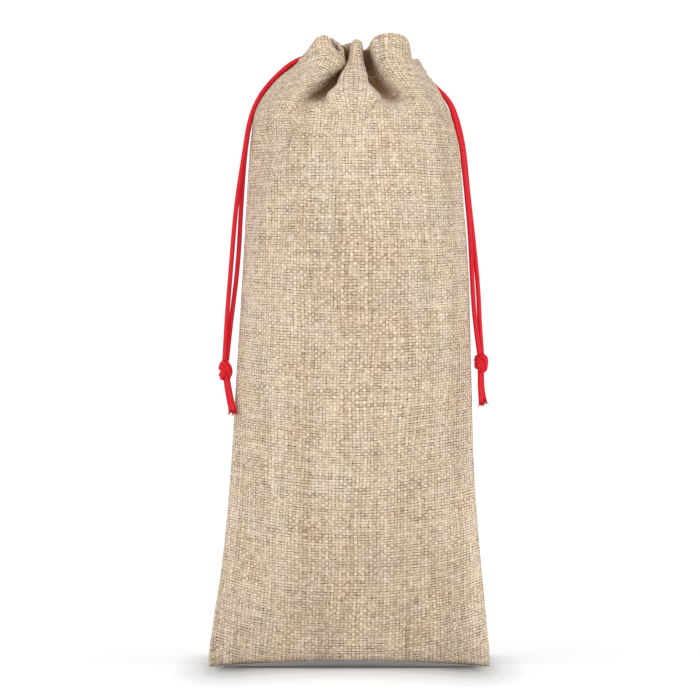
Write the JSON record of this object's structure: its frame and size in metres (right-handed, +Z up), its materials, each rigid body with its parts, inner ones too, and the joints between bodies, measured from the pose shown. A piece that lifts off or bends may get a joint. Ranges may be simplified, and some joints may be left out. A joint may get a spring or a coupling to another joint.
{
  "type": "wine gift bag",
  "caption": "Tall drawstring gift bag of coarse woven cloth with a pillow bottom, gathered at the neck by knotted red cords that leave it at both side seams.",
  "frame": {"origin": "on the floor under the middle of the bag's base", "axes": "+Z up, +X to the bag's right seam as seen from the front, -Y out of the front"},
  "size_m": [0.1514, 0.076, 0.3375],
  "materials": {
    "cloth": "coarse plain weave, natural jute and linen colour, matt and slubby",
    "thread": "spun sewing thread, cream",
    "cord": "smooth braided cord, red, soft satin sheen"
  },
  "bodies": {
    "bag": {"front_panel": "cloth", "back_panel": "cloth", "front_casing": "cloth", "back_casing": "cloth", "left_seam_allowance": "cloth", "right_seam_allowance": "cloth", "bottom_seam_allowance": "cloth", "front_casing_stitching": "thread", "back_casing_stitching": "thread", "left_casing_cord": "cord", "right_casing_cord": "cord", "left_outer_strand": "cord", "left_inner_strand": "cord", "right_inner_strand": "cord", "right_outer_strand": "cord"},
    "left_cord_end": {"left_knot": "cord", "left_front_tail": "cord", "left_rear_tail": "cord"},
    "right_cord_end": {"right_knot": "cord", "right_front_tail": "cord", "right_rear_tail": "cord"}
  },
  "joints": [
    {"name": "left_cord_draw", "type": "slide", "parent": "bag", "child": "left_cord_end", "axis": [0, 0, 1], "range_m": [0, 0.085], "deforming": ["left_outer_strand", "left_inner_strand"]},
    {"name": "right_cord_draw", "type": "slide", "parent": "bag", "child": "right_cord_end", "axis": [0, 0, 1], "range_m": [0, 0.085], "deforming": ["right_inner_strand", "right_outer_strand"]}
  ]
}
